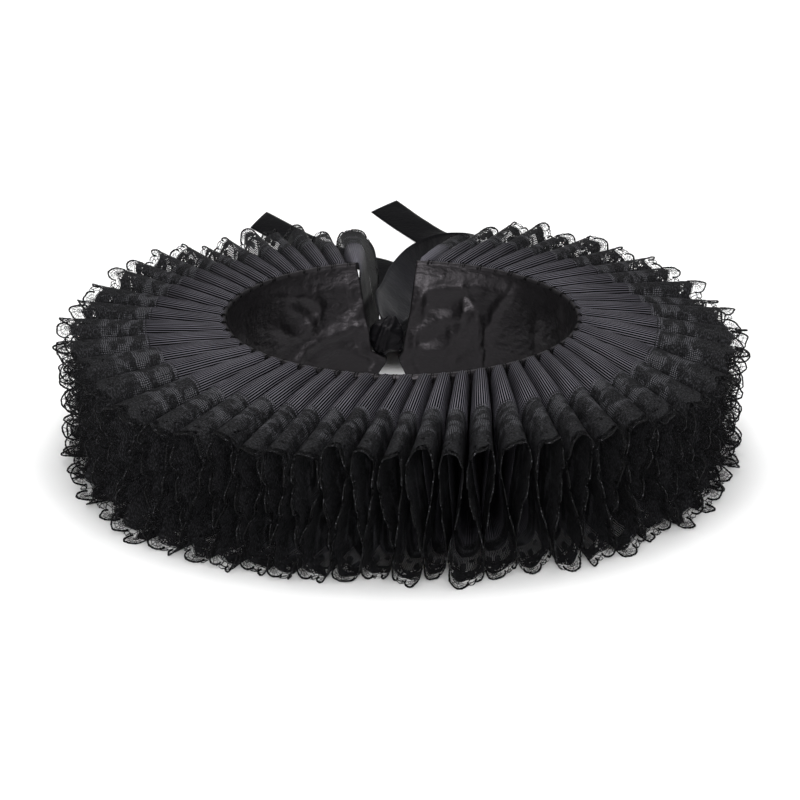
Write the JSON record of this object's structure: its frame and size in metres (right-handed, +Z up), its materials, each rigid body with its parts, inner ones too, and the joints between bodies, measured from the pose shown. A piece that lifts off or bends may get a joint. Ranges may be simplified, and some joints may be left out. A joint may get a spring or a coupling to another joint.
{
  "type": "ruff collar",
  "caption": "Pleated ruff collar of ribbed cloth edged with scalloped lace, on a satin neck stand, open at the back and tied with ribbons.",
  "frame": {"origin": "middle of the bounding box, on the table that the collar lies on", "axes": "+Z up, -Y towards the front of the collar, +Y towards the tie behind the neck and the ends of the ribbons"},
  "size_m": [0.263, 0.4698, 0.0563],
  "materials": {
    "ribbed_cloth": "charcoal ribbed cloth with a soft sheen, ribs running out from the neck",
    "lace": "black net lace with a corded scalloped edge",
    "satin": "black satin with soft wrinkles and a dusky sheen",
    "ribbon": "black satin ribbon, smooth, with woven edges"
  },
  "bodies": {
    "root": {"cloth_ruffle_left": "ribbed_cloth", "cloth_ruffle_right": "ribbed_cloth", "lace_edging_left": "lace", "lace_edging_right": "lace", "neck_stand": "satin", "ribbon_left": "ribbon", "ribbon_right": "ribbon", "ribbon_knot": "ribbon"}
  },
  "joints": []
}
